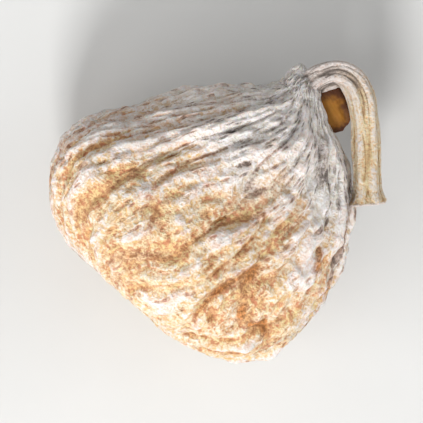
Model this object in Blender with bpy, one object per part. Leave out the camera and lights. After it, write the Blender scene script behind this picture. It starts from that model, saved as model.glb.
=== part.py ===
"""A dried fig with its stalk, lying on its flattened side.

Skin, neck, eye and stalk grew as one piece, so they are one solid.
+Y runs from the eye to the neck, +X is the side that the stalk bends to, and +Z is up.
The origin is on the table, under the middle of the fig's outline.
"""

import math

import bmesh
import bpy
import numpy as np
from mathutils import Matrix, Vector, noise

MM = 0.001

# Driving sizes of the fruit, without its relief.
FRUIT_WIDTH = 36.8 * MM
FRUIT_LENGTH = 34.6 * MM
FRUIT_THICKNESS = 25.8 * MM
LYING_HEIGHT = 12.4 * MM  # of the widest ring's middle, above the table that the belly is pressed flat on

# Driving sizes of the stalk.
STALK_RADIUS = 1.62 * MM
STALK_ROOT_RADIUS = 1.8 * MM
STALK_END_RADIUS = 2.15 * MM

# The middle of the outline seen from above, measured from the widest ring's middle.
OUTLINE_MIDDLE = Vector((0.43, 11.22, 0.0)) * MM

# Rings from the eye to the neck: along, sideways and up from the widest ring's middle, then the half width
# and half thickness. Along is a share of the fruit's length, half thickness one of its thickness, and the
# others are shares of its width.
RINGS = (
    (-0.188, -0.020, -0.015, 0.000, 0.000),
    (-0.206, -0.020, -0.015, 0.050, 0.066),
    (-0.240, -0.018, -0.014, 0.112, 0.137),
    (-0.236, -0.012, -0.012, 0.240, 0.271),
    (-0.196, -0.008, -0.008, 0.350, 0.374),
    (-0.116, -0.004, 0.002, 0.454, 0.456),
    (0.000, 0.000, 0.004, 0.505, 0.500),
    (0.130, 0.010, -0.002, 0.503, 0.502),
    (0.272, 0.039, -0.016, 0.460, 0.479),
    (0.411, 0.056, 0.008, 0.384, 0.408),
    (0.544, 0.060, 0.036, 0.282, 0.302),
    (0.630, 0.048, 0.052, 0.188, 0.211),
    (0.688, 0.020, 0.060, 0.116, 0.146),
    (0.730, -0.008, 0.066, 0.076, 0.106),
    (0.756, -0.018, 0.068, 0.048, 0.068),
    (0.764, -0.018, 0.068, 0.000, 0.000),
)
SIDE_COUNT = 140
RING_COUNT = 37
SQUARENESS = 2.25  # exponent of the rings' outline: 2 is an ellipse, more is squarer

# Relief of the skin. A fade is a pair of shares of the way from eye to neck.
FOLD_DEPTH = 1.05 * MM
FOLD_COUNT = 26
FOLD_LENGTHS = 4.5  # how often a fold starts or ends between eye and neck
WRINKLE_DEPTH = 0.42 * MM
WRINKLE_COUNT = 46
WRINKLE_LENGTHS = 9
FOLDS_FADE_IN = (0.1, 0.42)
FOLDS_FADE_OUT = (0.66, 0.86)
NECK_FOLD_SHARE = 0.3  # of the folds' depth that is left on the narrow neck
CREASE_SHARE = 0.6  # of a fold's depth that lies under the smooth skin
CROWN_GAIN = 2.2  # widens the crowns and narrows the creases
WANDER = 0.2  # how far a fold strays sideways, in radians
WANDER_COUNT = 1.6
WANDER_LENGTHS = 6.0
LUMP_HEIGHT = 0.7 * MM
LUMP_SPACING = 11 * MM
LUMPS_FADE_OUT = (0.7, 0.85)
PRESSED_HEIGHTS = (0.4 * MM, 4.0 * MM)  # the skin is pressed smooth below the first, and free above the second
EYE_SCALES = 9
EYE_SCALE_HEIGHT = 0.28 * MM
EYE_FADE_IN = (0.03, 0.07)
EYE_FADE_OUT = (0.11, 0.16)

# The three small lobes that the neck ends in: the angle of each round the neck, and its place along it.
LOBES = ((math.radians(165), 25.0 * MM), (math.radians(285), 24.4 * MM), (math.radians(45), 23.6 * MM))
LOBE_RADII = Vector((1.3, 2.3, 1.3)) * MM
LOBE_OFFSET = 1.6 * MM
LOBE_LEAN = math.radians(14)
NECK_SIDEWAYS = -0.5 * MM
NECK_UP = 2.4 * MM

# The stalk's middle line: sideways, along and up from the widest ring's middle, then its radius.
STALK_LINE = (
    (-0.5 * MM, 23.3 * MM, 1.8 * MM, STALK_ROOT_RADIUS),
    (-0.3 * MM, 25.4 * MM, 2.3 * MM, STALK_ROOT_RADIUS),
    (0.3 * MM, 27.6 * MM, 3.0 * MM, STALK_RADIUS),
    (1.4 * MM, 29.2 * MM, 3.6 * MM, STALK_RADIUS),
    (3.3 * MM, 29.7 * MM, 3.8 * MM, STALK_RADIUS),
    (5.4 * MM, 28.9 * MM, 3.6 * MM, STALK_RADIUS),
    (7.4 * MM, 27.2 * MM, 3.2 * MM, STALK_RADIUS),
    (9.3 * MM, 25.4 * MM, 2.8 * MM, STALK_RADIUS),
    (11.3 * MM, 23.3 * MM, 2.3 * MM, STALK_RADIUS),
    (13.1 * MM, 21.3 * MM, 2.0 * MM, 1.05 * STALK_RADIUS),
    (14.1 * MM, 20.2 * MM, 1.9 * MM, 1.15 * STALK_RADIUS),
    (14.7 * MM, 19.6 * MM, 1.85 * MM, STALK_END_RADIUS),
)
STALK_SIDES = 15
STALK_RINGS = 34
STALK_RIBS = 5
STALK_RIB_HEIGHT = 0.2 * MM
STALK_TWIST = 2.2  # turn of the ribs from root to end, in radians

# The fleshy web that fills the crook between neck and stalk.
WEB_MIDDLE = Vector((2.9, 25.5, 2.2)) * MM
WEB_RADII = Vector((3.1, 2.0, 1.3)) * MM
WEB_TURN = math.radians(-24)


def smooth_step(low, high, value):
    """0 below low, 1 above high, and a smooth rise between them."""
    share = min(1.0, max(0.0, (value - low) / (high - low)))
    return share * share * (3 - 2 * share)


def through(rows, share):
    """The values at a share, 0 to 1, of the way along a smooth curve through the rows."""
    last = len(rows) - 1
    place = min(max(share, 0.0), 1.0) * last
    first = min(int(place), last - 1)
    step = place - first
    before, start, end, after = (
        np.array(rows[min(max(first + k, 0), last)], float) for k in (-1, 0, 1, 2)
    )
    bend = 2 * before - 5 * start + 4 * end - after + step * (3 * (start - end) + after - before)
    return (start + 0.5 * step * (end - before + step * bend)).tolist()


def skin_point(turn, share):
    """A point of the smooth skin: turn is the angle round the fig, share the way from eye to neck."""
    along, sideways, up, half_width, half_thickness = through(RINGS, share)
    cosine, sine = math.cos(turn), math.sin(turn)
    reach = (abs(cosine) ** SQUARENESS + abs(sine) ** SQUARENESS) ** (-1 / SQUARENESS)
    return Vector(
        (
            FRUIT_WIDTH * (sideways + half_width * reach * cosine),
            FRUIT_LENGTH * along,
            LYING_HEIGHT + FRUIT_WIDTH * up + FRUIT_THICKNESS * half_thickness * reach * sine,
        )
    )


def outward(turn, share):
    """The smooth skin's outward direction, taken just inside the poles where it has no single one."""
    step = 0.002
    share = min(max(share, step), 1 - step)
    along = skin_point(turn, share + step) - skin_point(turn, share - step)
    around = skin_point(turn + step, share) - skin_point(turn - step, share)
    return around.cross(along).normalized()


def fold_height(turn, share, count, lengths):
    """Lengthwise folds, count of them round the fig: 0 in the creases and about 1 on the crowns."""
    sway = noise.noise(
        Vector((WANDER_COUNT * math.cos(turn), WANDER_COUNT * math.sin(turn), WANDER_LENGTHS * share))
    )
    swayed = turn + WANDER * sway
    radius = count / (2 * math.pi)
    place = Vector((radius * math.cos(swayed), radius * math.sin(swayed), lengths * share + count))
    return math.sqrt(min(1.0, CROWN_GAIN * abs(noise.noise(place))))


def relief(turn, share, point):
    """How far the real skin stands out from the smooth one."""
    free = smooth_step(*PRESSED_HEIGHTS, point.z)
    narrowing = 1 - (1 - NECK_FOLD_SHARE) * smooth_step(*FOLDS_FADE_OUT, share)
    girth = narrowing * smooth_step(*FOLDS_FADE_IN, share)
    folds = FOLD_DEPTH * (fold_height(turn, share, FOLD_COUNT, FOLD_LENGTHS) - CREASE_SHARE)
    wrinkles = WRINKLE_DEPTH * (fold_height(turn, share, WRINKLE_COUNT, WRINKLE_LENGTHS) - CREASE_SHARE)
    lumps = LUMP_HEIGHT * noise.noise(point / LUMP_SPACING) * (1 - smooth_step(*LUMPS_FADE_OUT, share))
    eye = smooth_step(*EYE_FADE_IN, share) * (1 - smooth_step(*EYE_FADE_OUT, share))
    scales = EYE_SCALE_HEIGHT * eye * math.cos(EYE_SCALES * turn)
    return free * (girth * (folds + wrinkles) + lumps) + scales


def new_object(name, mesh_maker):
    """An object whose mesh mesh_maker fills in."""
    mesh = bpy.data.meshes.new(name)
    shape = bmesh.new()
    mesh_maker(shape)
    bmesh.ops.recalc_face_normals(shape, faces=shape.faces)
    shape.to_mesh(mesh)
    shape.free()
    made = bpy.data.objects.new(name, mesh)
    bpy.context.scene.collection.objects.link(made)
    return made


def make_skin(shape):
    """A ball whose poles are the eye and the neck's end, drawn out to the fig's form."""
    bmesh.ops.create_uvsphere(shape, u_segments=SIDE_COUNT, v_segments=RING_COUNT, radius=1)
    for corner in shape.verts:
        turn = math.atan2(corner.co.y, corner.co.x)
        share = math.acos(min(1.0, max(-1.0, -corner.co.z))) / math.pi
        point = skin_point(turn, share)
        corner.co = point + outward(turn, share) * relief(turn, share, point)
    flatten_belly(shape)


def flatten_belly(shape):
    """Cuts the belly off where the table pressed it flat."""
    cut = bmesh.ops.bisect_plane(
        shape,
        geom=shape.verts[:] + shape.edges[:] + shape.faces[:],
        plane_co=(0, 0, 0),
        plane_no=(0, 0, -1),
        clear_outer=True,
    )
    rim = [e for e in cut["geom_cut"] if isinstance(e, bmesh.types.BMEdge)]
    bmesh.ops.edgeloop_fill(shape, edges=rim)


def make_stalk(shape):
    """A ribbed tube along the stalk's middle line, with its cut end closed."""
    shares = [ring / (STALK_RINGS - 1) for ring in range(STALK_RINGS)]
    rows = [through(STALK_LINE, share) for share in shares]
    middles = [Vector(row[:3]) + Vector((0, 0, LYING_HEIGHT)) for row in rows]
    rings = []
    for index, row in enumerate(rows):
        forwards = (middles[min(index + 1, STALK_RINGS - 1)] - middles[max(index - 1, 0)]).normalized()
        sideways = forwards.cross(Vector((0, 0, 1))).normalized()
        upwards = sideways.cross(forwards)
        ring = []
        for side in range(STALK_SIDES):
            turn = 2 * math.pi * side / STALK_SIDES
            radius = row[3] + STALK_RIB_HEIGHT * math.cos(STALK_RIBS * turn + STALK_TWIST * shares[index])
            ring.append(
                shape.verts.new(
                    middles[index] + radius * (math.cos(turn) * sideways + math.sin(turn) * upwards)
                )
            )
        rings.append(ring)
    for near, far in zip(rings, rings[1:]):
        for side in range(STALK_SIDES):
            following = (side + 1) % STALK_SIDES
            shape.faces.new((near[side], near[following], far[following], far[side]))
    shape.faces.new(rings[0])
    shape.faces.new(rings[-1])


def make_egg(shape, radii, turning, middle):
    """A ball drawn out to three radii, turned, and set at a place measured from the widest ring's middle."""
    corners = bmesh.ops.create_icosphere(shape, subdivisions=2, radius=1)["verts"]
    bmesh.ops.transform(shape, matrix=turning @ Matrix.Diagonal(radii).to_4x4(), verts=corners)
    bmesh.ops.translate(shape, vec=middle + Vector((0, 0, LYING_HEIGHT)), verts=corners)


def make_web(shape):
    """A flattened ball of flesh in the crook."""
    make_egg(shape, WEB_RADII, Matrix.Rotation(WEB_TURN, 4, "Z"), WEB_MIDDLE)


def make_lobes(shape):
    """The three lobes, leaning out from the neck's end."""
    for angle, along in LOBES:
        outwards = Vector((math.cos(angle), 0, math.sin(angle)))
        lean = Matrix.Rotation(LOBE_LEAN, 4, Vector((0, 1, 0)).cross(outwards))
        make_egg(shape, LOBE_RADII, lean, Vector((NECK_SIDEWAYS, along, NECK_UP)) + LOBE_OFFSET * outwards)


def union(body, others):
    """Joins the other objects into the body, and removes them."""
    collection = bpy.data.collections.new("grown_together")
    bpy.context.scene.collection.children.link(collection)
    for other in others:
        collection.objects.link(other)
    join = body.modifiers.new("grown_together", "BOOLEAN")
    join.operation = "UNION"
    join.operand_type = "COLLECTION"
    join.collection = collection
    bpy.context.view_layer.objects.active = body
    with bpy.context.temp_override(object=body, active_object=body):
        bpy.ops.object.modifier_apply(modifier=join.name)
    for other in others:
        bpy.data.objects.remove(other)
    bpy.data.collections.remove(collection)


def skin_material():
    """Amber skin under a pale sugar bloom."""
    made = bpy.data.materials.new("fig_skin")
    made.use_nodes = True
    shader = made.node_tree.nodes["Principled BSDF"]
    shader.inputs["Base Color"].default_value = (0.50, 0.34, 0.20, 1)
    shader.inputs["Roughness"].default_value = 0.6
    shader.inputs["Metallic"].default_value = 0.0
    return made


def main():
    for old in list(bpy.data.objects):
        bpy.data.objects.remove(old)
    fig = new_object("fig", make_skin)
    stalk = new_object("stalk", make_stalk)
    web = new_object("web", make_web)
    lobes = new_object("lobes", make_lobes)
    union(fig, [stalk, web, lobes])
    for corner in fig.data.vertices:
        corner.co -= OUTLINE_MIDDLE
    fig.data.materials.append(skin_material())
    fig.data.shade_smooth()
    fig.data.set_sharp_from_angle(angle=math.radians(50))


main()
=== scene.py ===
import bisect
import functools
import math

import bpy
from mathutils import Matrix, Vector, noise


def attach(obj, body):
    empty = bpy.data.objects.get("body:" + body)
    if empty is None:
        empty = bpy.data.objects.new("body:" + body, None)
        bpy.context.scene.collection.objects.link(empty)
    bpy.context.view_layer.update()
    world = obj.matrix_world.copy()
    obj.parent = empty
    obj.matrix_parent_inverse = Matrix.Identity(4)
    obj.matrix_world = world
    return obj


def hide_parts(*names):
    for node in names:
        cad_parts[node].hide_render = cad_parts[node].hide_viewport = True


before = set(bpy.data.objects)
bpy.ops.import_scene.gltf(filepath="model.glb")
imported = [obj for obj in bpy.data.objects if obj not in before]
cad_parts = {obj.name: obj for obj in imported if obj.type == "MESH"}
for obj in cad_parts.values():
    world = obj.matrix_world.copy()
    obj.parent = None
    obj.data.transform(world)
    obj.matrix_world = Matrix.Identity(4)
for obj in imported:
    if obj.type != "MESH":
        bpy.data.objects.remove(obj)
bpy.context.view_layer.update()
bpy.ops.object.select_all(action="DESELECT")


# The skin
# The fig's skin is one closed bag that runs from the eye round the fat belly to the narrow neck. It shrank as
# it dried, so it lies in lengthwise folds, and it is soft amber leather where it is bare. Sugar has bloomed
# out on it as a grey-white dust, thickest on the crowns of the folds, on the flanks and towards the neck.
MM = 0.001
FRUIT_WIDTH = 36.8 * MM
FRUIT_LENGTH = 34.6 * MM
FRUIT_THICKNESS = 25.8 * MM
LYING_HEIGHT = 12.4 * MM
OUTLINE_MIDDLE = Vector((0.43, 11.22, 0.0)) * MM

# Rings from the eye to the neck: along, sideways and up from the widest ring's middle, then the half width
# and half thickness. Along is a share of the fruit's length, half thickness one of its thickness, and the
# others are shares of its width.
RINGS = (
    (-0.188, -0.020, -0.015, 0.000, 0.000),
    (-0.206, -0.020, -0.015, 0.050, 0.066),
    (-0.240, -0.018, -0.014, 0.112, 0.137),
    (-0.236, -0.012, -0.012, 0.240, 0.271),
    (-0.196, -0.008, -0.008, 0.350, 0.374),
    (-0.116, -0.004, 0.002, 0.454, 0.456),
    (0.000, 0.000, 0.004, 0.505, 0.500),
    (0.130, 0.010, -0.002, 0.503, 0.502),
    (0.272, 0.039, -0.016, 0.460, 0.479),
    (0.411, 0.056, 0.008, 0.384, 0.408),
    (0.544, 0.060, 0.036, 0.282, 0.302),
    (0.630, 0.048, 0.052, 0.188, 0.211),
    (0.688, 0.020, 0.060, 0.116, 0.146),
    (0.730, -0.008, 0.066, 0.076, 0.106),
    (0.756, -0.018, 0.068, 0.048, 0.068),
    (0.764, -0.018, 0.068, 0.000, 0.000),
)
SQUARENESS = 2.25
SKIN_SIDES = 110
SKIN_RINGS = 56
SKIN_CUTS = 2

# Each kind of fold: its height, how many go round the fig, and how many lengths of them there are.
FOLDS = (0.6 * MM, 26, 4.5)
WRINKLES = (0.75 * MM, 46, 8)
CRINKLES = (0.52 * MM, 92, 16)
CREPE = (0.4 * MM, 160, 30)
FOLD_CREASE_WIDTH = 0.17
FOLD_CROWN = 0.4  # how far a fold stands up between its creases, as a share of its height
SHRUNK = 0.28 * MM
# Between two shares of the way from the eye to the neck the folds come in, and they shrink between two more.
FOLDS_FADE_IN = (0.05, 0.36)
FOLDS_FADE_OUT = (0.6, 0.84)
NECK_FOLD_SHARE = 0.3
# They are firmer on the right shoulder, by this share and round this turn.
SHOULDER_FOLDS = 0.5
SHOULDER_TURN = math.radians(40)
# Folds wander on their way: how far, how many wanderings there are round the fig and how many along it.
WANDERS = ((0.16, 1.6, 5.0), (0.03, 6.0, 14.0))
# On their way down from the neck, they sweep over towards the left flank: how far, where and from where.
SWEEP = 0.55
SWEEP_TURN = math.radians(138)
SWEEP_SHARES = (0.25, 0.8)

# A net of thin ridges with pits in its meshes, as on crumpled paper, is wrapped round a drum of this radius
# and length. A mesh is this wide and this long, and the net is bent by a share of a mesh.
NET_DRUM = (17.0 * MM, 45.0 * MM)
NET_SPACING = Vector((1.0, 1.0, 2.3)) * MM
NET_BEND = 0.5
NET_BENDS = 0.6  # bends to a mesh
NET_BEND_STARTS = (Vector((9.3, -1.5, -7.9)), Vector((-3.2, 7.4, 4.1)), Vector((2.6, 5.8, 11.7)))
NET_FADE_IN = (0.25, 0.55)
NET_LEAST = 0.3
NET_NECK_SHARE = 0.5
# How wide a ridge is and how far a pit reaches are shares of a mesh too. Some pits are deep and some shallow.
RIDGE_WIDTH = 0.22
RIDGE_HEIGHT = 0.28 * MM
RIDGE_SINK = 0.3
PIT_REACH = (0.1, 0.5)
PIT_LUCK = (0.1, 0.7)
PIT_SCATTER = 7
PIT_DEPTH = 0.24 * MM

PUCKER_HEIGHT = 0.22 * MM
PUCKER_SPACING = 1.0 * MM
LUMP_HEIGHT = 0.7 * MM
LUMP_SPACING = 11 * MM
LUMPS_FADE_OUT = (0.7, 0.85)
PRESSED_HEIGHTS = (0.4 * MM, 4.0 * MM)  # below them the skin is pressed flat by the table

# Where the sugar comes in and where it turns grey, in shares of the way from the eye to the neck, then how
# much sooner it does so on the flanks and in patches, and how thick it lies on the left tip and at the eye.
BLOOM_FADE_IN = (0.43, 0.68)
GREY_FADE_IN = (0.50, 0.66)
FLANK_BLOOM = 0.08
LEFT_BLOOM = 0.02
PATCH_BLOOM = 0.10
PATCH_SPACING = 5.5 * MM
PATCH_START = Vector((7, 0, 0))
LEFT_VEIL = 0.7
EYE_VEIL = 0.8
EYE_VEIL_ENDS = (0.11, 0.22)
EYE_VEIL_PATCHES = 0.1


def smooth_step(low, high, value):
    """0 below low, 1 above high, and a smooth rise between them."""
    share = min(1.0, max(0.0, (value - low) / (high - low)))
    return share * share * (3 - 2 * share)


@functools.lru_cache(maxsize=None)
def through(rows, share):
    """The values at a share, 0 to 1, of the way along a smooth curve through the rows."""
    last = len(rows) - 1
    place = min(max(share, 0.0), 1.0) * last
    first = min(int(place), last - 1)
    step = place - first
    near = [rows[min(max(first + k, 0), last)] for k in (-1, 0, 1, 2)]
    values = []
    for before, start, end, after in zip(*near):
        bend = 2 * before - 5 * start + 4 * end - after + step * (3 * (start - end) + after - before)
        values.append(start + 0.5 * step * (end - before + step * bend))
    return values


def swayed(turn, share):
    """The turn round the fig that a fold passing here set out from, since folds wander on their way."""
    below_neck = 1 - smooth_step(*SWEEP_SHARES, share)
    came_from = turn - SWEEP * below_neck * (0.5 + 0.5 * math.cos(turn - SWEEP_TURN)) ** 3
    for reach, count, lengths in WANDERS:
        spot = Vector((count * math.cos(turn), count * math.sin(turn), lengths * share))
        came_from += reach * noise.noise(spot)
    return came_from


def side_of_crease(turn, share, count, lengths):
    """Falls through 0 at each lengthwise crease, with count of them round the fig."""
    radius = count / (2 * math.pi)
    return noise.noise(Vector((radius * math.cos(turn), radius * math.sin(turn), lengths * share + count)))


def crumpled_net(turn, share):
    """1 on the ridges of the net and near 0 in its meshes, then how deep in a pit the spot is, 0 to 1."""
    radius, length = NET_DRUM
    spot = (radius * math.cos(turn), radius * math.sin(turn), length * share)
    place = Vector(a / b for a, b in zip(spot, NET_SPACING))
    bent = Vector(noise.noise(NET_BENDS * place + start) for start in NET_BEND_STARTS)
    place += NET_BEND * bent
    distances, mesh_middles = noise.voronoi(place)
    gap = distances[1] - distances[0]
    ridge = RIDGE_WIDTH**2 / (gap * gap + RIDGE_WIDTH**2)
    deepest = smooth_step(*PIT_LUCK, noise.cell(PIT_SCATTER * mesh_middles[0]))
    return ridge, deepest * (1 - smooth_step(*PIT_REACH, distances[0]))


def shape_ball(ball, place_at):
    """Moves each point of a ball to place_at(turn, share), share running from the bottom pole to the top."""
    spots = []
    for point in ball.data.vertices:
        turn = math.atan2(-point.co.y, point.co.x)
        share = round(math.acos(min(1.0, max(-1.0, -point.co.normalized().z))) / math.pi, 5)
        spots.append((turn, share))
        point.co = place_at(turn, share)
    ball.data.update()
    return spots


def paint(piece, name, values):
    """Keeps a number for each of the piece's points, for its material to read."""
    layer = piece.data.attributes.new(name, "FLOAT", "POINT")
    layer.data.foreach_set("value", values)


def paint_drum(piece, spots, length):
    """Keeps a place on a drum for each point, so that a pattern can follow the piece lengthwise."""
    layer = piece.data.attributes.new("grain", "FLOAT_VECTOR", "POINT")
    places = [(math.cos(turn), math.sin(turn), length * share) for turn, share in spots]
    layer.data.foreach_set("vector", [value for place in places for value in place])


def settle(piece, *slots):
    """Smooths a finished piece, lets it ride on the fig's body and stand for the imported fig."""
    piece.data.shade_smooth()
    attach(piece, "root")
    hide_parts("fig")


def smooth_skin(turn, share):
    """A spot on the skin as it was before it folded."""
    along, sideways, up, half_width, half_thickness = through(RINGS, share)
    cosine, sine = math.cos(turn), math.sin(turn)
    reach = (abs(cosine) ** SQUARENESS + abs(sine) ** SQUARENESS) ** (-1 / SQUARENESS)
    return Vector(
        (
            FRUIT_WIDTH * (sideways + half_width * reach * cosine),
            FRUIT_LENGTH * along,
            LYING_HEIGHT + FRUIT_WIDTH * up + FRUIT_THICKNESS * half_thickness * reach * sine,
        )
    )


# The ball's rings are spread evenly over the way from the eye to the neck along the fig's top.
PACES = 600
strides = [0.0]
for pace in range(PACES):
    stride = smooth_skin(math.pi / 2, (pace + 1) / PACES) - smooth_skin(math.pi / 2, pace / PACES)
    strides.append(strides[-1] + stride.length)


def even_share(share):
    """The share of the rings that lies this share of the way along the fig's top."""
    reached = share * strides[-1]
    pace = min(bisect.bisect_right(strides, reached), PACES) - 1
    return (pace + (reached - strides[pace]) / (strides[pace + 1] - strides[pace])) / PACES


bpy.ops.mesh.primitive_uv_sphere_add(segments=SKIN_SIDES, ring_count=SKIN_RINGS, radius=1)
skin = bpy.context.object
skin.name = "fig_skin"
cuts = skin.modifiers.new("cuts", "SUBSURF")
cuts.subdivision_type = "SIMPLE"
cuts.levels = cuts.render_levels = SKIN_CUTS
bpy.ops.object.modifier_apply(modifier="cuts")
ball_spots = shape_ball(skin, lambda turn, share: smooth_skin(turn, even_share(share)))
skin_spots = [(turn, even_share(share)) for turn, share in ball_spots]
outwards = [point.normal.copy() for point in skin.data.vertices]
LAYERS = ("girth", "crease", "crinkle", "crepe", "ridge", "pit", "crown", "bloom", "grey")
rows = []
grain_spots = []
for point, outward, (turn, share) in zip(skin.data.vertices, outwards, skin_spots):
    # girth is how much of the folds' height the spot gets, and crumple how much of the net's
    free = smooth_step(*PRESSED_HEIGHTS, point.co.z)
    necking = smooth_step(*FOLDS_FADE_OUT, share)
    girth = free * (1 - (1 - NECK_FOLD_SHARE) * necking) * smooth_step(*FOLDS_FADE_IN, share)
    crumple = free * (NET_LEAST + (1 - NET_LEAST) * smooth_step(*NET_FADE_IN, share))
    crumple *= 1 - (1 - NET_NECK_SHARE) * necking
    shoulder = max(0.0, math.cos(turn - SHOULDER_TURN)) ** 3
    girth *= 1 + SHOULDER_FOLDS * shoulder
    crumple *= 1 - SHOULDER_FOLDS * shoulder
    came_from = swayed(turn, share)
    grain_spots.append((came_from, share))

    height, *pattern = FOLDS
    side = side_of_crease(came_from, share, *pattern)
    fold = FOLD_CREASE_WIDTH**2 / (side * side + FOLD_CREASE_WIDTH**2)
    rise = height * (FOLD_CROWN - fold) - SHRUNK
    ridge, pit = (crumple * value for value in crumpled_net(came_from, share))
    relief = RIDGE_HEIGHT * (ridge - RIDGE_SINK * crumple) - PIT_DEPTH * pit
    swells = []
    for height, *pattern in (WRINKLES, CRINKLES, CREPE):
        swell = side_of_crease(came_from, share, *pattern)
        rise += height * swell
        swells.append(swell)
    wrinkle, crinkle, crepe = swells
    pucker = noise.noise(point.co / PUCKER_SPACING)
    rise += PUCKER_HEIGHT * pucker
    lumps = LUMP_HEIGHT * noise.noise(point.co / LUMP_SPACING) * (1 - smooth_step(*LUMPS_FADE_OUT, share))

    # the crowns of the folds hold the most sugar
    swelling = 1.0 * wrinkle + 0.8 * crinkle + 0.5 * crepe - 0.3 * fold + 0.3 * pucker
    crown = girth * swelling + 0.3 * (ridge - pit)
    patch = noise.noise(point.co / PATCH_SPACING + PATCH_START)
    zone = share + FLANK_BLOOM * math.cos(turn) ** 2 - LEFT_BLOOM * math.cos(turn) - PATCH_BLOOM * patch
    veil = LEFT_VEIL * max(0.0, -math.cos(turn)) ** 3
    veil += EYE_VEIL * (1 - smooth_step(*EYE_VEIL_ENDS, share + EYE_VEIL_PATCHES * patch))
    bloom = min(1.0, smooth_step(*BLOOM_FADE_IN, zone) + veil)
    grey = smooth_step(*GREY_FADE_IN, share - PATCH_BLOOM * patch)
    rows.append((girth, fold, crinkle, crepe, ridge, pit, crown, bloom, grey))
    point.co += outward * (girth * rise + relief + free * lumps) - OUTLINE_MIDDLE
    point.co.z = max(point.co.z, 0.0)
for name, values in zip(LAYERS, zip(*rows)):
    paint(skin, name, values)
paint_drum(skin, grain_spots, 1.0)


def feed(step, feeds):
    """Feeds a step's sockets, by name or number, from other sockets or with plain values."""
    for key, value in feeds.items():
        if isinstance(value, bpy.types.NodeSocket):
            step.id_data.links.new(value, step.inputs[key])
        else:
            step.inputs[key].default_value = value


def new_material(name):
    """A material, its Principled shader, and a function that adds a step to it and feeds its sockets."""
    made = bpy.data.materials.new(name)
    made.use_nodes = True
    tree = made.node_tree

    def add(kind, feeds=None, **settings):
        step = tree.nodes.new(kind)
        for key, value in settings.items():
            setattr(step, key, value)
        feed(step, feeds or {})
        return step

    return made, tree.nodes["Principled BSDF"], add


def painted(add, name, output="Fac"):
    """What paint or paint_drum kept under a name."""
    return add("ShaderNodeAttribute", attribute_name=name).outputs[output]


def object_place(add):
    """The place of a spot on the piece, in metres."""
    return add("ShaderNodeTexCoord").outputs["Object"]


def mix_colour(add, share, first, second, blend="MIX"):
    """The colour between two colours at a share."""
    feeds = {0: share, 6: first, 7: second}
    return add("ShaderNodeMix", feeds, data_type="RGBA", blend_type=blend).outputs[2]


def maths(add, operation, first, second):
    """What an operation makes of two numbers."""
    return add("ShaderNodeMath", {0: first, 1: second}, operation=operation).outputs[0]


def sum_of(add, *terms):
    """The sum of terms, each a socket and what it is multiplied by."""
    total = 0.0
    for socket, factor in terms:
        total = add("ShaderNodeMath", {0: socket, 1: factor, 2: total}, operation="MULTIPLY_ADD").outputs[0]
    return total


def ramp(add, value, low, high):
    """0 where value is below low, 1 above high, with a smooth rise."""
    feeds = {"Value": value, "From Min": low, "From Max": high}
    return add("ShaderNodeMapRange", feeds, interpolation_type="SMOOTHSTEP").outputs["Result"]


def between(add, share, first, second):
    """The number between two numbers at a share."""
    return add("ShaderNodeMix", {0: share, 2: first, 3: second}).outputs[0]


def specks(add, vector, scale, detail=3.0, roughness=0.6):
    """Cloudy specks, scale of them to a length of one."""
    feeds = {"Vector": vector, "Scale": scale, "Detail": detail, "Roughness": roughness}
    return add("ShaderNodeTexNoise", feeds).outputs["Fac"]


def grains_of_sugar(add, place):
    """Coarse grains of sugar, then the fine ones between them."""
    return specks(add, place, 1700.0, 4.0, 0.75), specks(add, place, 3100.0, 3.0, 0.7)


def bumps(add, height, strength, distance):
    """The way a surface faces once a height has roughened it."""
    feeds = {"Height": height, "Strength": strength, "Distance": distance}
    return add("ShaderNodeBump", feeds).outputs["Normal"]


DEEP_AMBER = (0.73, 0.46, 0.23, 1)
AMBER = (0.87, 0.68, 0.45, 1)
PALE_AMBER = (0.94, 0.80, 0.62, 1)
TAUPE = (0.84, 0.79, 0.73, 1)
# The colours of the creases, pits and pricks: partly the skin's own darker colour and partly painted shade.
AMBER_CREASE_AND_SHADE = (0.47, 0.21, 0.07, 1)
GREY_CREASE_AND_SHADE = (0.18, 0.15, 0.13, 1)
ROSE_BLOOM = (0.90, 0.75, 0.66, 1)
GREY_BLOOM = (0.93, 0.88, 0.84, 1)
WHITE_BLOOM = (0.95, 0.86, 0.80, 1)
# Laid over a colour, the first makes it darker and the second lighter.
DARK_SPECK = (0.23, 0.21, 0.20, 1)
LIGHT_SPECK = (0.83, 0.80, 0.81, 1)
SPECKS_ON_AMBER = 0.8
SPECKS_ON_GREY = 0.95
# Between which two values of their sums these come in.
LINES_START = (1.45, 1.95)
DASHES_START = (-0.6, 0.0)
HOLLOWS_START = (0.95, 1.75)
PRICKS_START = (0.44, 0.70)
AMBER_STARTS = (1.15, 1.65)
PALE_AMBER_STARTS = (1.45, 1.85)
DUST_STARTS = (2.42, 3.16)
WHITE_STARTS = (3.25, 3.75)
SPECKS_START = (1.02, 1.38)
# Pricks are cells of a pattern on the drum, packed this much closer along it. Only the luckier cells are
# pricks.
PRICK_STRETCH = (1.0, 1.0, 1.15)
PRICK_SCALE = 31.0
PRICK_LUCK = (0.3, 0.6)
PRICKS_ON_AMBER = 0.6
PRICKS_ON_DUST = 0.74
CLOTS_ON_GREY = 0.7


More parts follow.
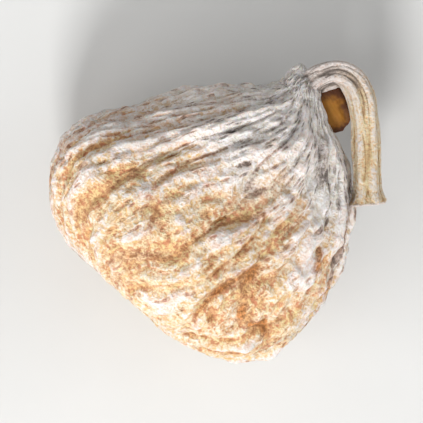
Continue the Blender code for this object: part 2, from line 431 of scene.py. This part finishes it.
def sugared_skin(name):
    """Amber leather under a dust of sugar that streaks lengthwise and leaves the creases dark."""
    made, shader, add = new_material(name)
    place = object_place(add)
    grain = painted(add, "grain", "Vector")
    girth, crown, bloom, grey = (painted(add, layer) for layer in ("girth", "crown", "bloom", "grey"))
    streaks = specks(add, grain, 11.0, 4.0, 0.65)
    threads = specks(add, grain, 26.0, 6.0, 0.75)
    grains, dust_grains = grains_of_sugar(add, place)
    patches = specks(add, place, 190.0, 3.0)
    mottles = specks(add, place, 1000.0, 4.0, 0.7)
    crystal = ramp(add, grains, 0.40, 0.62)
    # near the neck the sugar lies in small round clots, not in threads
    threads = between(add, maths(add, "MULTIPLY", grey, CLOTS_ON_GREY), threads, mottles)

    # the deepest places between the folds are dark, partly the skin's own colour and partly painted shade:
    # a crease is a line, and a pit a short dash
    fold, crinkle, crepe = (painted(add, layer) for layer in ("crease", "crinkle", "crepe"))
    ridge, pit = (painted(add, layer) for layer in ("ridge", "pit"))
    line = ramp(add, sum_of(add, (fold, 1.0), (streaks, 0.9), (threads, 0.5)), *LINES_START)
    dashes = sum_of(add, (pit, 1.2), (crinkle, -0.5), (crepe, -0.6), (threads, -1.2), (grains, -1.0))
    hollow = ramp(add, sum_of(add, (pit, 0.9), (grey, 0.25), (grains, 0.9)), *HOLLOWS_START)
    dash = maths(add, "MAXIMUM", ramp(add, dashes, *DASHES_START), hollow)
    crease = maths(add, "MULTIPLY", maths(add, "MAXIMUM", line, dash), girth)

    # pricks: fine short dark dashes along the folds, partly painted shade, in tiny dents where the skin
    # shrank between the grains of sugar
    short = add("ShaderNodeVectorMath", {0: grain, 1: PRICK_STRETCH}, operation="MULTIPLY").outputs[0]
    cells = add("ShaderNodeTexVoronoi", {"Vector": short, "Scale": PRICK_SCALE})
    luck = add("ShaderNodeSeparateColor", {0: cells.outputs["Color"]}).outputs[0]
    pricks = sum_of(add, (luck, 0.3), (grains, 0.5), (threads, 0.9), (cells.outputs["Distance"], -1.0))
    prick = maths(add, "MULTIPLY", ramp(add, pricks, *PRICKS_START), ramp(add, luck, *PRICK_LUCK))
    prick = maths(add, "MULTIPLY", prick, between(add, bloom, PRICKS_ON_AMBER, PRICKS_ON_DUST))
    crease = maths(add, "MAXIMUM", crease, prick)

    # bare skin is deep amber in its hollows and pale on its crowns, and taupe towards the neck
    depth = sum_of(add, (patches, 0.8), (streaks, 0.8), (threads, 0.9), (grains, 0.5))
    amber_share = ramp(add, sum_of(add, (depth, 1.0), (crown, 0.9)), *AMBER_STARTS)
    amber = mix_colour(add, amber_share, DEEP_AMBER, AMBER)
    amber = mix_colour(add, ramp(add, depth, *PALE_AMBER_STARTS), amber, PALE_AMBER)
    under = mix_colour(add, grey, amber, TAUPE)

    # the sugar lies on it as dust, and white where it is thickest
    dust = mix_colour(add, grey, ROSE_BLOOM, GREY_BLOOM)
    zones = sum_of(add, (bloom, 0.92), (grey, 0.05), (crown, 1.4), (ridge, 0.3))
    thickness = sum_of(add, (zones, 1.0), (streaks, 1.8), (threads, 1.9), (crystal, 0.4))
    cover = ramp(add, thickness, *DUST_STARTS)
    surface = mix_colour(add, cover, under, dust)
    surface = mix_colour(add, ramp(add, thickness, *WHITE_STARTS), surface, WHITE_BLOOM)
    # painted shade, over the skin's own darker colour, in the creases, pits and pricks
    groove_and_shade = mix_colour(add, grey, AMBER_CREASE_AND_SHADE, GREY_CREASE_AND_SHADE)
    colour = mix_colour(add, crease, surface, groove_and_shade)
    speckled = ramp(add, sum_of(add, (dust_grains, 0.6), (grains, 1.3), (mottles, 0.5)), *SPECKS_START)
    speckles = mix_colour(add, speckled, DARK_SPECK, LIGHT_SPECK)
    colour = mix_colour(add, between(add, grey, SPECKS_ON_AMBER, SPECKS_ON_GREY), colour, speckles, "OVERLAY")

    rough = add("ShaderNodeMapRange", {"Value": cover, "To Min": 0.5, "To Max": 0.85}).outputs["Result"]
    height = sum_of(add, (grains, 1.1), (dust_grains, 0.6), (threads, 1.3), (crease, -0.25), (prick, -0.2))
    finish = {
        "Base Color": colour,
        "Roughness": rough,
        "Normal": bumps(add, height, 0.9, 0.55 * MM),
        "Subsurface Weight": 0.1,
        "Subsurface Radius": (1.0, 0.4, 0.15),
        "Subsurface Scale": 0.8 * MM,
        "Specular IOR Level": 0.35,
    }
    feed(shader, finish)
    return made


skin_finish = sugared_skin("sugared_skin")
skin.data.materials.append(skin_finish)
settle(skin, "skin")


# The neck's lobes
# The neck ends in three small fleshy lobes, left from the scales at the base of the flower, that stand round
# the root of the stalk. They are skin like the rest, shrivelled and grey with bloom.
LOBES = ((math.radians(165), 25.0 * MM), (math.radians(285), 24.4 * MM), (math.radians(45), 23.6 * MM))
LOBE_RADII = Vector((1.3, 2.3, 1.3)) * MM
LOBE_SIDES = 96
LOBE_RINGS = 64
LOBE_OFFSET = 1.6 * MM
LOBE_LEAN = math.radians(14)
LOBE_RIDGES = (9, 3)
LOBE_RIDGE_HEIGHT = 0.16 * MM
LOBE_RIDGE_SINK = 0.6
LOBE_GRAIN_LENGTH = 0.6
LOBE_PAINT = {
    "girth": 0.8,
    "bloom": 0.9,
    "grey": 1.0,
    "crinkle": 0.2,
    "crepe": 0.2,
    "ridge": 0.3,
    "pit": 0.2,
}
NECK_SIDEWAYS = -0.5 * MM
NECK_UP = 2.4 * MM
RIDGE_CREASE_WIDTH = 0.02


def ridge_height(turn, share, count, lengths):
    """Lengthwise ridges, count of them round a small piece: 0 in the creases and about 1 on the crowns."""
    side = side_of_crease(turn, share, count, lengths)
    return side * side / (side * side + RIDGE_CREASE_WIDTH)


def lying_ball(turn, share):
    """A ball whose poles lie along the fig."""
    radius = math.sin(math.pi * share)
    return Vector((radius * math.cos(turn), -math.cos(math.pi * share), radius * math.sin(turn)))


for number, (angle, along) in enumerate(LOBES, 1):
    bpy.ops.mesh.primitive_uv_sphere_add(segments=LOBE_SIDES, ring_count=LOBE_RINGS, radius=1)
    lobe = bpy.context.object
    lobe.name = f"neck_lobe_{number}"
    lobe_spots = shape_ball(lobe, lying_ball)
    aside = Vector((math.cos(angle), 0, math.sin(angle)))
    lean = Matrix.Rotation(LOBE_LEAN, 4, Vector((0, 1, 0)).cross(aside))
    middle = Vector((NECK_SIDEWAYS, along, NECK_UP + LYING_HEIGHT)) + LOBE_OFFSET * aside - OUTLINE_MIDDLE
    lobe_creases = []
    for point, (turn, share) in zip(lobe.data.vertices, lobe_spots):
        ridge = ridge_height(turn + number, share, *LOBE_RIDGES)
        lobe_creases.append((1 - ridge) ** 2)
        rise = LOBE_RIDGE_HEIGHT * (ridge - LOBE_RIDGE_SINK)
        drawn_out = Vector(a * (b + rise) for a, b in zip(point.co, LOBE_RADII))
        point.co = lean @ drawn_out + middle
    # the creases between the ridges are painted darker by the skin's finish, partly as painted shade
    paint(lobe, "crease", lobe_creases)
    paint(lobe, "crown", [0.25 - 0.5 * crease for crease in lobe_creases])
    for name, value in LOBE_PAINT.items():
        paint(lobe, name, [value] * len(lobe_spots))
    paint_drum(lobe, lobe_spots, LOBE_GRAIN_LENGTH)
    lobe.data.materials.append(skin_finish)
    settle(lobe, "skin")


# The stalk
# The stalk is a dry woody tube that bends over beside the shoulder. Its five ribs stand out where it shrank,
# its root is grey with bloom like the neck, and its far end flares where it was cut from the twig.
STALK_RADIUS = 1.62 * MM
STALK_ROOT_RADIUS = 1.8 * MM
STALK_END_RADIUS = 2.15 * MM
# Places along its middle line, sideways, along and up, then its radius there.
STALK_LINE = (
    (-0.5 * MM, 23.3 * MM, 1.8 * MM, STALK_ROOT_RADIUS),
    (-0.3 * MM, 25.4 * MM, 2.3 * MM, STALK_ROOT_RADIUS),
    (0.3 * MM, 27.6 * MM, 3.0 * MM, STALK_RADIUS),
    (1.4 * MM, 29.2 * MM, 3.6 * MM, STALK_RADIUS),
    (3.3 * MM, 29.7 * MM, 3.8 * MM, STALK_RADIUS),
    (5.4 * MM, 28.9 * MM, 3.6 * MM, STALK_RADIUS),
    (7.4 * MM, 27.2 * MM, 3.2 * MM, STALK_RADIUS),
    (9.3 * MM, 25.4 * MM, 2.8 * MM, STALK_RADIUS),
    (11.3 * MM, 23.3 * MM, 2.3 * MM, STALK_RADIUS),
    (13.1 * MM, 21.3 * MM, 2.0 * MM, 1.05 * STALK_RADIUS),
    (14.1 * MM, 20.2 * MM, 1.9 * MM, 1.15 * STALK_RADIUS),
    (14.7 * MM, 19.6 * MM, 1.85 * MM, STALK_END_RADIUS),
)
STALK_SIDES = 80
STALK_RINGS = 260
STALK_STEP = 0.01
STALK_RIBS = 5
STALK_RIB_HEIGHT = 0.2 * MM
STALK_TWIST = 2.2
# How many fibres and knobs go round the stalk, and how many lengths of them there are.
FIBRES = (15, 4)
FIBRE_HEIGHT = 0.1 * MM
KNOBS = (4, 9)
KNOB_HEIGHT = 0.22 * MM
STALK_GRAIN_LENGTH = 3.0
ROOT_SHARE = 0.03  # of the rings round off the root
CUT_SHARE = 0.93  # of the rings run along the stalk, and the rest close its cut end
# The cut is sunk between two shares of the way to its middle, inside a lip.
CUT_DEPTH = 0.5 * MM
CUT_SLOPE = (0.1, 0.45)
LIP_HEIGHT = 0.12 * MM
LIP_WIDTH = 0.05


def stalk_skin(turn, share):
    """A spot on the stalk's ribbed side, or on its cut end for the last shares."""
    run = min(1.0, share / CUT_SHARE)
    across, along, up, radius = through(STALK_LINE, run)
    ahead = Vector(through(STALK_LINE, min(1.0, run + STALK_STEP))[:3])
    behind = Vector(through(STALK_LINE, max(0.0, run - STALK_STEP))[:3])
    forwards = (ahead - behind).normalized()
    sideways = forwards.cross(Vector((0, 0, 1))).normalized()
    upwards = sideways.cross(forwards)
    radius += STALK_RIB_HEIGHT * math.cos(STALK_RIBS * turn + STALK_TWIST * run)
    radius += FIBRE_HEIGHT * (2 * ridge_height(turn, run, *FIBRES) - 1)
    radius += KNOB_HEIGHT * side_of_crease(turn, run, *KNOBS)
    closing = max(0.0, (share - CUT_SHARE) / (1 - CUT_SHARE))
    sunk = -CUT_DEPTH * smooth_step(*CUT_SLOPE, closing) + LIP_HEIGHT * smooth_step(0.0, LIP_WIDTH, closing)
    middle = Vector((across, along, up + LYING_HEIGHT)) - OUTLINE_MIDDLE + sunk * forwards
    reach = radius * smooth_step(0.0, ROOT_SHARE, share) * (1 - closing)
    return middle + reach * (math.cos(turn) * sideways + math.sin(turn) * upwards)


bpy.ops.mesh.primitive_uv_sphere_add(segments=STALK_SIDES, ring_count=STALK_RINGS, radius=1)
stalk = bpy.context.object
stalk.name = "fig_stalk"
stalk_spots = shape_ball(stalk, stalk_skin)
valleys = []
for turn, share in stalk_spots:
    run = min(1.0, share / CUT_SHARE)
    valley = 0.5 - 0.5 * math.cos(STALK_RIBS * turn + STALK_TWIST * run)
    between_fibres = (1 - ridge_height(turn, run, *FIBRES)) ** 2
    valleys.append(min(1.0, 0.55 * valley + 0.6 * between_fibres))
paint(stalk, "valley", valleys)
paint(stalk, "run", [share for turn, share in stalk_spots])
paint_drum(stalk, stalk_spots, STALK_GRAIN_LENGTH)

STRAW = (0.90, 0.63, 0.36, 1)
PALE_STRAW = (0.98, 0.81, 0.60, 1)
DRY_BROWN = (0.46, 0.26, 0.12, 1)
STALK_BLOOM = (0.84, 0.70, 0.63, 1)
CUT_WOOD = (0.62, 0.42, 0.24, 1)
DARK_FLECK = (0.22, 0.22, 0.22, 1)
LIGHT_FLECK = (0.76, 0.76, 0.76, 1)
FLECKS = 0.8

stalk_finish, shader, add = new_material("dry_stalk")
place = object_place(add)
grain = painted(add, "grain", "Vector")
valley = painted(add, "valley")
run = painted(add, "run")
fibres = specks(add, grain, 7.0, 5.0, 0.7)
grains, dust_grains = grains_of_sugar(add, place)
patches = specks(add, place, 330.0, 3.0)
# straw-coloured ribs with brown valleys between them
pale = ramp(add, sum_of(add, (fibres, 1.0), (grains, 0.6), (valley, -0.3)), 0.55, 0.9)
wood = mix_colour(add, pale, STRAW, PALE_STRAW)
browned = ramp(add, sum_of(add, (valley, 0.9), (fibres, 0.5), (grains, 0.3)), 0.85, 1.4)
wood = mix_colour(add, browned, wood, DRY_BROWN)
# the root is grey with bloom, and a little dust lies on the rest and on the lip of the cut
# in the valleys at the root the grey darkens to the crease colour, partly painted shade
greyed = ramp(add, sum_of(add, (valley, 1.0), (grains, 0.5)), 0.5, 1.1)
bloomed = mix_colour(add, greyed, STALK_BLOOM, GREY_CREASE_AND_SHADE)
rooted = ramp(add, sum_of(add, (run, -1.0), (fibres, 0.25), (grains, 0.2), (patches, 0.25)), -0.2, 0.12)
wood = mix_colour(add, rooted, wood, bloomed)
dusted = ramp(add, sum_of(add, (patches, 1.1), (grains, 1.1), (valley, -0.4)), 1.06, 1.32)
wood = mix_colour(add, dusted, wood, ROSE_BLOOM)
wood = mix_colour(add, ramp(add, run, CUT_SHARE - 0.03, CUT_SHARE), wood, ROSE_BLOOM)
flecked = ramp(add, sum_of(add, (dust_grains, 1.0), (grains, 0.9)), 0.62, 1.06)
wood = mix_colour(add, FLECKS, wood, mix_colour(add, flecked, DARK_FLECK, LIGHT_FLECK), "OVERLAY")
wood = mix_colour(add, ramp(add, run, CUT_SHARE + 0.012, CUT_SHARE + 0.03), wood, CUT_WOOD)
height = sum_of(add, (fibres, 1.1), (grains, 1.7), (dust_grains, 0.7))
finish = {
    "Base Color": wood,
    "Normal": bumps(add, height, 0.9, 0.6 * MM),
    "Roughness": 0.72,
    "Specular IOR Level": 0.3,
}
feed(shader, finish)
stalk.data.materials.append(stalk_finish)
settle(stalk, "stalk")


# The crook's web
# Where the stalk bends over, a little bare flesh is stretched between it and the shoulder. No sugar dust
# reaches it, so it glows a deep clear amber.
WEB_MIDDLE = Vector((3.2, 25.6, 2.2)) * MM
WEB_RADII = Vector((3.7, 2.3, 1.0)) * MM
WEB_TURN = math.radians(-24)
WEB_CUTS = 6
# How far its rim is dented, and how many dents there are to its half width.
WEB_DENTS = ((0.14, 1.6), (0.04, 6))
WEB_RIPPLE_HEIGHT = 0.14 * MM
WEB_RIPPLES = (1.6, 3.5)
RIM_MIDDLE = (0.3, -0.05)
RIM_RADII = (0.8, 0.9)

bpy.ops.mesh.primitive_ico_sphere_add(subdivisions=WEB_CUTS, radius=1)
web = bpy.context.object
web.name = "crook_web"
web_turning = Matrix.Rotation(WEB_TURN, 3, "Z")
rims = []
for point in web.data.vertices:
    dent = 1
    for depth, count in WEB_DENTS:
        dent += depth * noise.noise(point.co * count)
    # how far a spot is from the middle of the web's seen part, which sets its painted shadow
    rim_places = ((a - b) / c for a, b, c in zip(point.co, RIM_MIDDLE, RIM_RADII))
    rims.append(math.hypot(*rim_places))
    drawn_out = Vector(a * b for a, b in zip(point.co * dent, WEB_RADII))
    # it is drawn into ripples that run from the neck to the stalk
    ripple_place = Vector((WEB_RIPPLES[0] * point.co.x, WEB_RIPPLES[1] * point.co.y, 0.3))
    drawn_out.z += WEB_RIPPLE_HEIGHT * noise.noise(ripple_place)
    point.co = web_turning @ drawn_out + WEB_MIDDLE + Vector((0, 0, LYING_HEIGHT)) - OUTLINE_MIDDLE
paint(web, "rim", rims)

# the clear amber of the bare flesh, and the painted shadow at its rim
BARE_AMBER = (0.36, 0.155, 0.02, 1)
SHADOWED_AMBER = (0.09, 0.03, 0.012, 1)
web_finish, shader, add = new_material("bare_flesh")
place = object_place(add)
clouds = specks(add, place, 600.0, 3.0, 0.5)
fine_specks = specks(add, place, 2500.0, 3.0, 0.5)
# the rim is painted darker than the middle, as the shadow under the stalk's arch and against the neck
deep = ramp(add, sum_of(add, (painted(add, "rim"), 1.0), (clouds, 1.3), (fine_specks, 0.5)), 1.15, 2.0)
height = sum_of(add, (clouds, 1.0), (fine_specks, 0.5))
finish = {
    "Base Color": mix_colour(add, deep, BARE_AMBER, SHADOWED_AMBER),
    "Normal": bumps(add, height, 0.5, 0.15 * MM),
    "Roughness": 0.6,
    "Specular IOR Level": 0.3,
    "Subsurface Weight": 0.2,
    "Subsurface Radius": (1.0, 0.35, 0.08),
    "Subsurface Scale": 1.5 * MM,
}
feed(shader, finish)
web.data.materials.append(web_finish)
settle(web, "skin")


# The eye's scales
# The eye at the fat end is a small hole that two rings of scales close, straw-coloured flaps outside and
# browner ones within, partly as painted shade. They are dry and papery, and their tips meet over a dark gap.
EYE_MIDDLE = Vector((-0.74, -6.3, -0.55)) * MM
SCALE_RADII = Vector((1.15, 1.3, 0.24)) * MM
SCALE_SIDES = 24
SCALE_RINGS = 16
SCALE_CURL = 0.35 * MM
SCALE_NARROWING = 0.35
SCALE_BUCKLE = 0.12 * MM
BROWN_EDGE = 0.9
BROWN_EDGE_ENDS = (0.6, 0.98)
# No scale is quite like the next: how much it is moved round, tilted in degrees and swelled by chance.
MOVED_ROUND = 0.35
TILTED = 14
SWELLED = 0.2
# The count of scales in each ring, its radius, their tilt, their height, their size and how brown they are.
EYE_RINGS = ((6, 1.6 * MM, -6, 0.95 * MM, 1.0, 0.0), (4, 0.8 * MM, 10, 0.5 * MM, 0.75, 0.6))

scales = []
for count, radius, tilt, height, size, brown in EYE_RINGS:
    for number in range(count):
        bpy.ops.mesh.primitive_uv_sphere_add(segments=SCALE_SIDES, ring_count=SCALE_RINGS, radius=1)
        scale = bpy.context.object
        chance = noise.noise(Vector((number * 1.7, radius / MM, 0.3)))
        around = 2 * math.pi * (number + MOVED_ROUND * chance) / count
        lift = Matrix.Rotation(math.radians(tilt + TILTED * chance), 3, "X")
        # a scale is modelled lying on the plane of the eye, with its tip towards the middle
        browns = []
        for point in scale.data.vertices:
            from_middle = math.hypot(point.co.x, point.co.y)
            # the inner ring is browner, partly its own colour and partly painted shade deeper in the eye, and
            # each scale browns towards its edges
            browns.append(brown + BROWN_EDGE * smooth_step(*BROWN_EDGE_ENDS, from_middle))
            flat = Vector(a * b for a, b in zip(point.co, SCALE_RADII))
            flat.x *= 1 - SCALE_NARROWING * smooth_step(-0.2, 1.0, point.co.y)
            flat.z += SCALE_CURL * max(0.0, point.co.y) ** 2
            flat.z += SCALE_BUCKLE * noise.noise(2 * point.co + Vector((3 * number, 0, 0)))
            lifted = lift @ (size * flat) + Vector((0, -radius, height))
            spun = (1 + SWELLED * chance) * (Matrix.Rotation(around, 3, "Z") @ lifted)
            facing = Vector((spun.x, -spun.z, spun.y))
            point.co = facing + EYE_MIDDLE + Vector((0, 0, LYING_HEIGHT)) - OUTLINE_MIDDLE
        paint(scale, "brown", browns)
        scales.append(scale)
bpy.ops.object.select_all(action="DESELECT")
for scale in scales:
    scale.select_set(True)
bpy.context.view_layer.objects.active = scales[0]
bpy.ops.object.join()
eye = bpy.context.object
eye.name = "eye_scales"
bpy.ops.object.mode_set(mode="EDIT")
bpy.ops.mesh.select_all(action="SELECT")
bpy.ops.mesh.normals_make_consistent(inside=False)
bpy.ops.object.mode_set(mode="OBJECT")

PAPERY_STRAW = (0.66, 0.45, 0.26, 1)
SCALE_BROWN = (0.30, 0.155, 0.06, 1)
eye_finish, shader, add = new_material("papery_scale")
place = object_place(add)
blotches = specks(add, place, 700.0, 3.0, 0.5)
fine_specks = specks(add, place, 2500.0, 3.0, 0.5)
brown = painted(add, "brown")
papery = ramp(add, sum_of(add, (blotches, 1.8), (fine_specks, 0.8), (brown, -0.8)), 0.95, 1.6)
sugared = ramp(add, sum_of(add, (blotches, 0.8), (fine_specks, 1.2), (brown, -0.3)), 1.05, 1.35)
paper = mix_colour(add, papery, SCALE_BROWN, PAPERY_STRAW)
height = sum_of(add, (blotches, 0.6), (fine_specks, 0.8))
finish = {
    "Base Color": mix_colour(add, sugared, paper, ROSE_BLOOM),
    "Normal": bumps(add, height, 0.5, 0.1 * MM),
    "Roughness": 0.6,
}
feed(shader, finish)
eye.data.materials.append(eye_finish)
settle(eye, "skin")


# The table
# A plain matt white table top, which the fig lies on.
TABLE_SIZE = 3.0
TABLE_GREY = (0.60, 0.60, 0.59, 1)
TABLE_WHITE = (0.64, 0.64, 0.63, 1)
bpy.ops.object.select_all(action="DESELECT")
bpy.ops.mesh.primitive_plane_add(size=TABLE_SIZE, location=(0, 0, 0))
table = bpy.context.object
table.name = "table_top"
table_finish, shader, add = new_material("matt_white_table")
mottle = specks(add, object_place(add), 60.0, 3.0, 0.5)
feed(shader, {"Base Color": mix_colour(add, mottle, TABLE_GREY, TABLE_WHITE), "Roughness": 0.8})
table.data.materials.append(table_finish)


# The light
# Soft studio light: an even sky, a key lamp over the fat end and a broad lamp on each side.
VIEW_TURN = math.radians(41)
SKY_STRENGTH = 0.36
studio = bpy.data.worlds.new("studio")
studio.use_nodes = True
feed(studio.node_tree.nodes["Background"], {"Color": (1.0, 1.0, 1.0, 1), "Strength": SKY_STRENGTH})
bpy.context.scene.world = studio


def lamp(name, direction, height, reach, size, power):
    """A square soft lamp that stands in a direction as the camera sees it, and faces the fig."""
    light = bpy.data.lights.new(name, "AREA")
    light.size = size
    light.energy = power
    holder = bpy.data.objects.new(name, light)
    angle = math.radians(direction) + VIEW_TURN
    holder.location = (reach * math.cos(angle), reach * math.sin(angle), height)
    holder.rotation_euler = (-holder.location).to_track_quat("-Z", "Y").to_euler()
    bpy.context.scene.collection.objects.link(holder)


lamp("key_lamp", -100, 0.56, 0.6, 0.22, 5.7)
lamp("left_lamp", -155, 0.45, 0.8, 0.8, 6.2)
lamp("right_lamp", 0, 0.5, 0.8, 0.8, 3.1)


# The camera
# It looks straight down from well above, turned so that the neck points up and to the right.
CAMERA_HEIGHT = 0.75
VIEW_WIDTH = 52 * MM
VIEW_MIDDLE = (0.4 * MM, -4.9 * MM)
SENSOR_WIDTH = 36
lens_view = bpy.data.cameras.new("camera")
lens_view.sensor_width = SENSOR_WIDTH
lens_view.lens = SENSOR_WIDTH * (CAMERA_HEIGHT - LYING_HEIGHT) / VIEW_WIDTH
lens_view.clip_start = 0.01
camera = bpy.data.objects.new("camera", lens_view)
camera.location = (*VIEW_MIDDLE, CAMERA_HEIGHT)
camera.rotation_euler = (0, 0, VIEW_TURN)
bpy.context.scene.collection.objects.link(camera)
bpy.context.scene.camera = camera
bpy.context.scene.view_settings.view_transform = "Standard"
